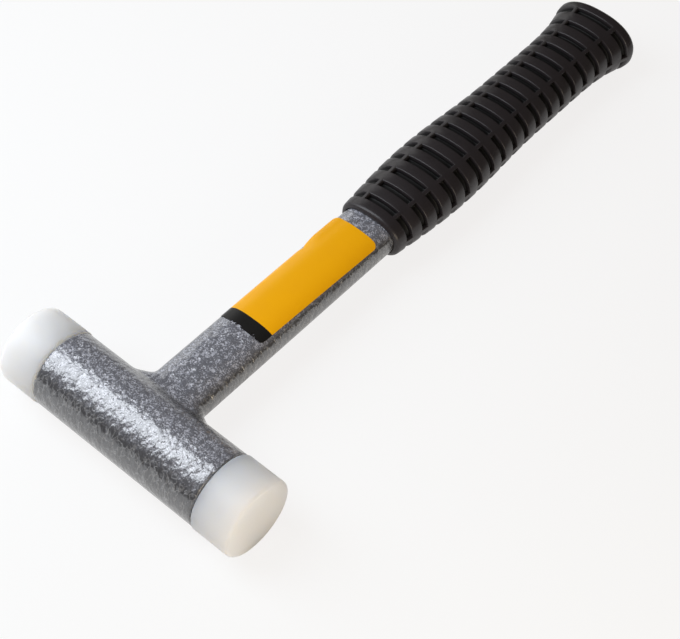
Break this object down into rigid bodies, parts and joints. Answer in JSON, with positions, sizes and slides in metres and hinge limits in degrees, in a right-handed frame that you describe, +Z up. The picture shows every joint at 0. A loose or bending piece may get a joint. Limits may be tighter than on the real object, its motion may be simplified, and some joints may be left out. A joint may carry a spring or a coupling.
{
  "type": "dead blow hammer",
  "caption": "Recoilless soft-face hammer: cylindrical steel head with nylon faces and loose shot inside, oval tube handle and slotted rubber grip.",
  "frame": {"origin": "middle of the hammer's box, on the surface that it lies on", "axes": "+X along the head towards the front face, +Y along the handle towards the end of the grip, +Z up from the surface"},
  "size_m": [0.124, 0.3307, 0.035],
  "materials": {
    "hammertone_paint": "grey hammertone paint",
    "grip_rubber": "matt moulded rubber",
    "nylon": "milky natural nylon",
    "bare_steel": "plain steel",
    "label_film": "printed film"
  },
  "bodies": {
    "hammer": {"head_housing": "hammertone_paint", "shaft_tube": "hammertone_paint", "rubber_grip": "grip_rubber", "front_face": "nylon", "rear_face": "nylon", "front_plate": "bare_steel", "rear_plate": "bare_steel", "handle_label": "label_film"},
    "shot": {"shot_charge": "bare_steel"}
  },
  "joints": [
    {"name": "shot_slide", "type": "slide", "parent": "hammer", "child": "shot", "axis": [1, 0, 0], "range_m": [-0.0069, 0.0069]}
  ]
}
